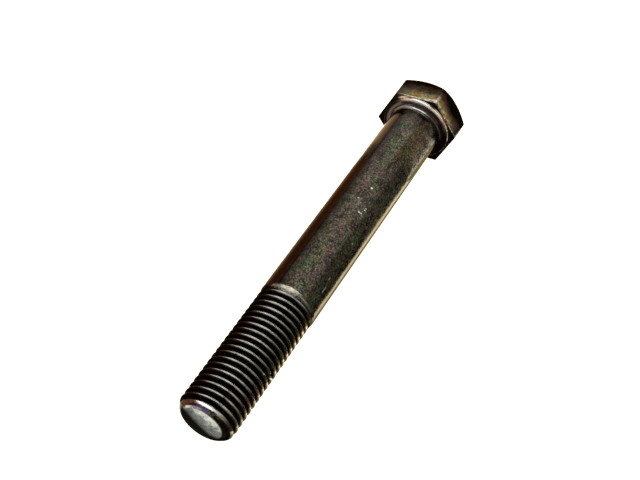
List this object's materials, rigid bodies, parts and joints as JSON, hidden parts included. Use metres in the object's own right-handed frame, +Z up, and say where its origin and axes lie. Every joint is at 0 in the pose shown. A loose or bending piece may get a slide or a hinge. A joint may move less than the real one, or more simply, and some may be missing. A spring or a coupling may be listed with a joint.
{
  "type": "leaf spring bolt",
  "caption": "Long hexagon-head bolt with a plain shank, a coarse thread that runs out into it, a chamfered tip and a round washer face under the head.",
  "frame": {"origin": "on the surface that the bolt lies on, under the middle of its length and width", "axes": "+X along the bolt from its tip towards its head, +Z up from the surface that it lies on. The bolt's own axis rises 1.52 degrees towards the head"},
  "size_m": [0.1304, 0.0254, 0.0222],
  "materials": {
    "dark_steel": "blackened steel, satin, with brown and olive stain and bright wear on thread crests and edges"
  },
  "bodies": {
    "root": {"leaf_spring_bolt": "dark_steel"}
  },
  "joints": []
}
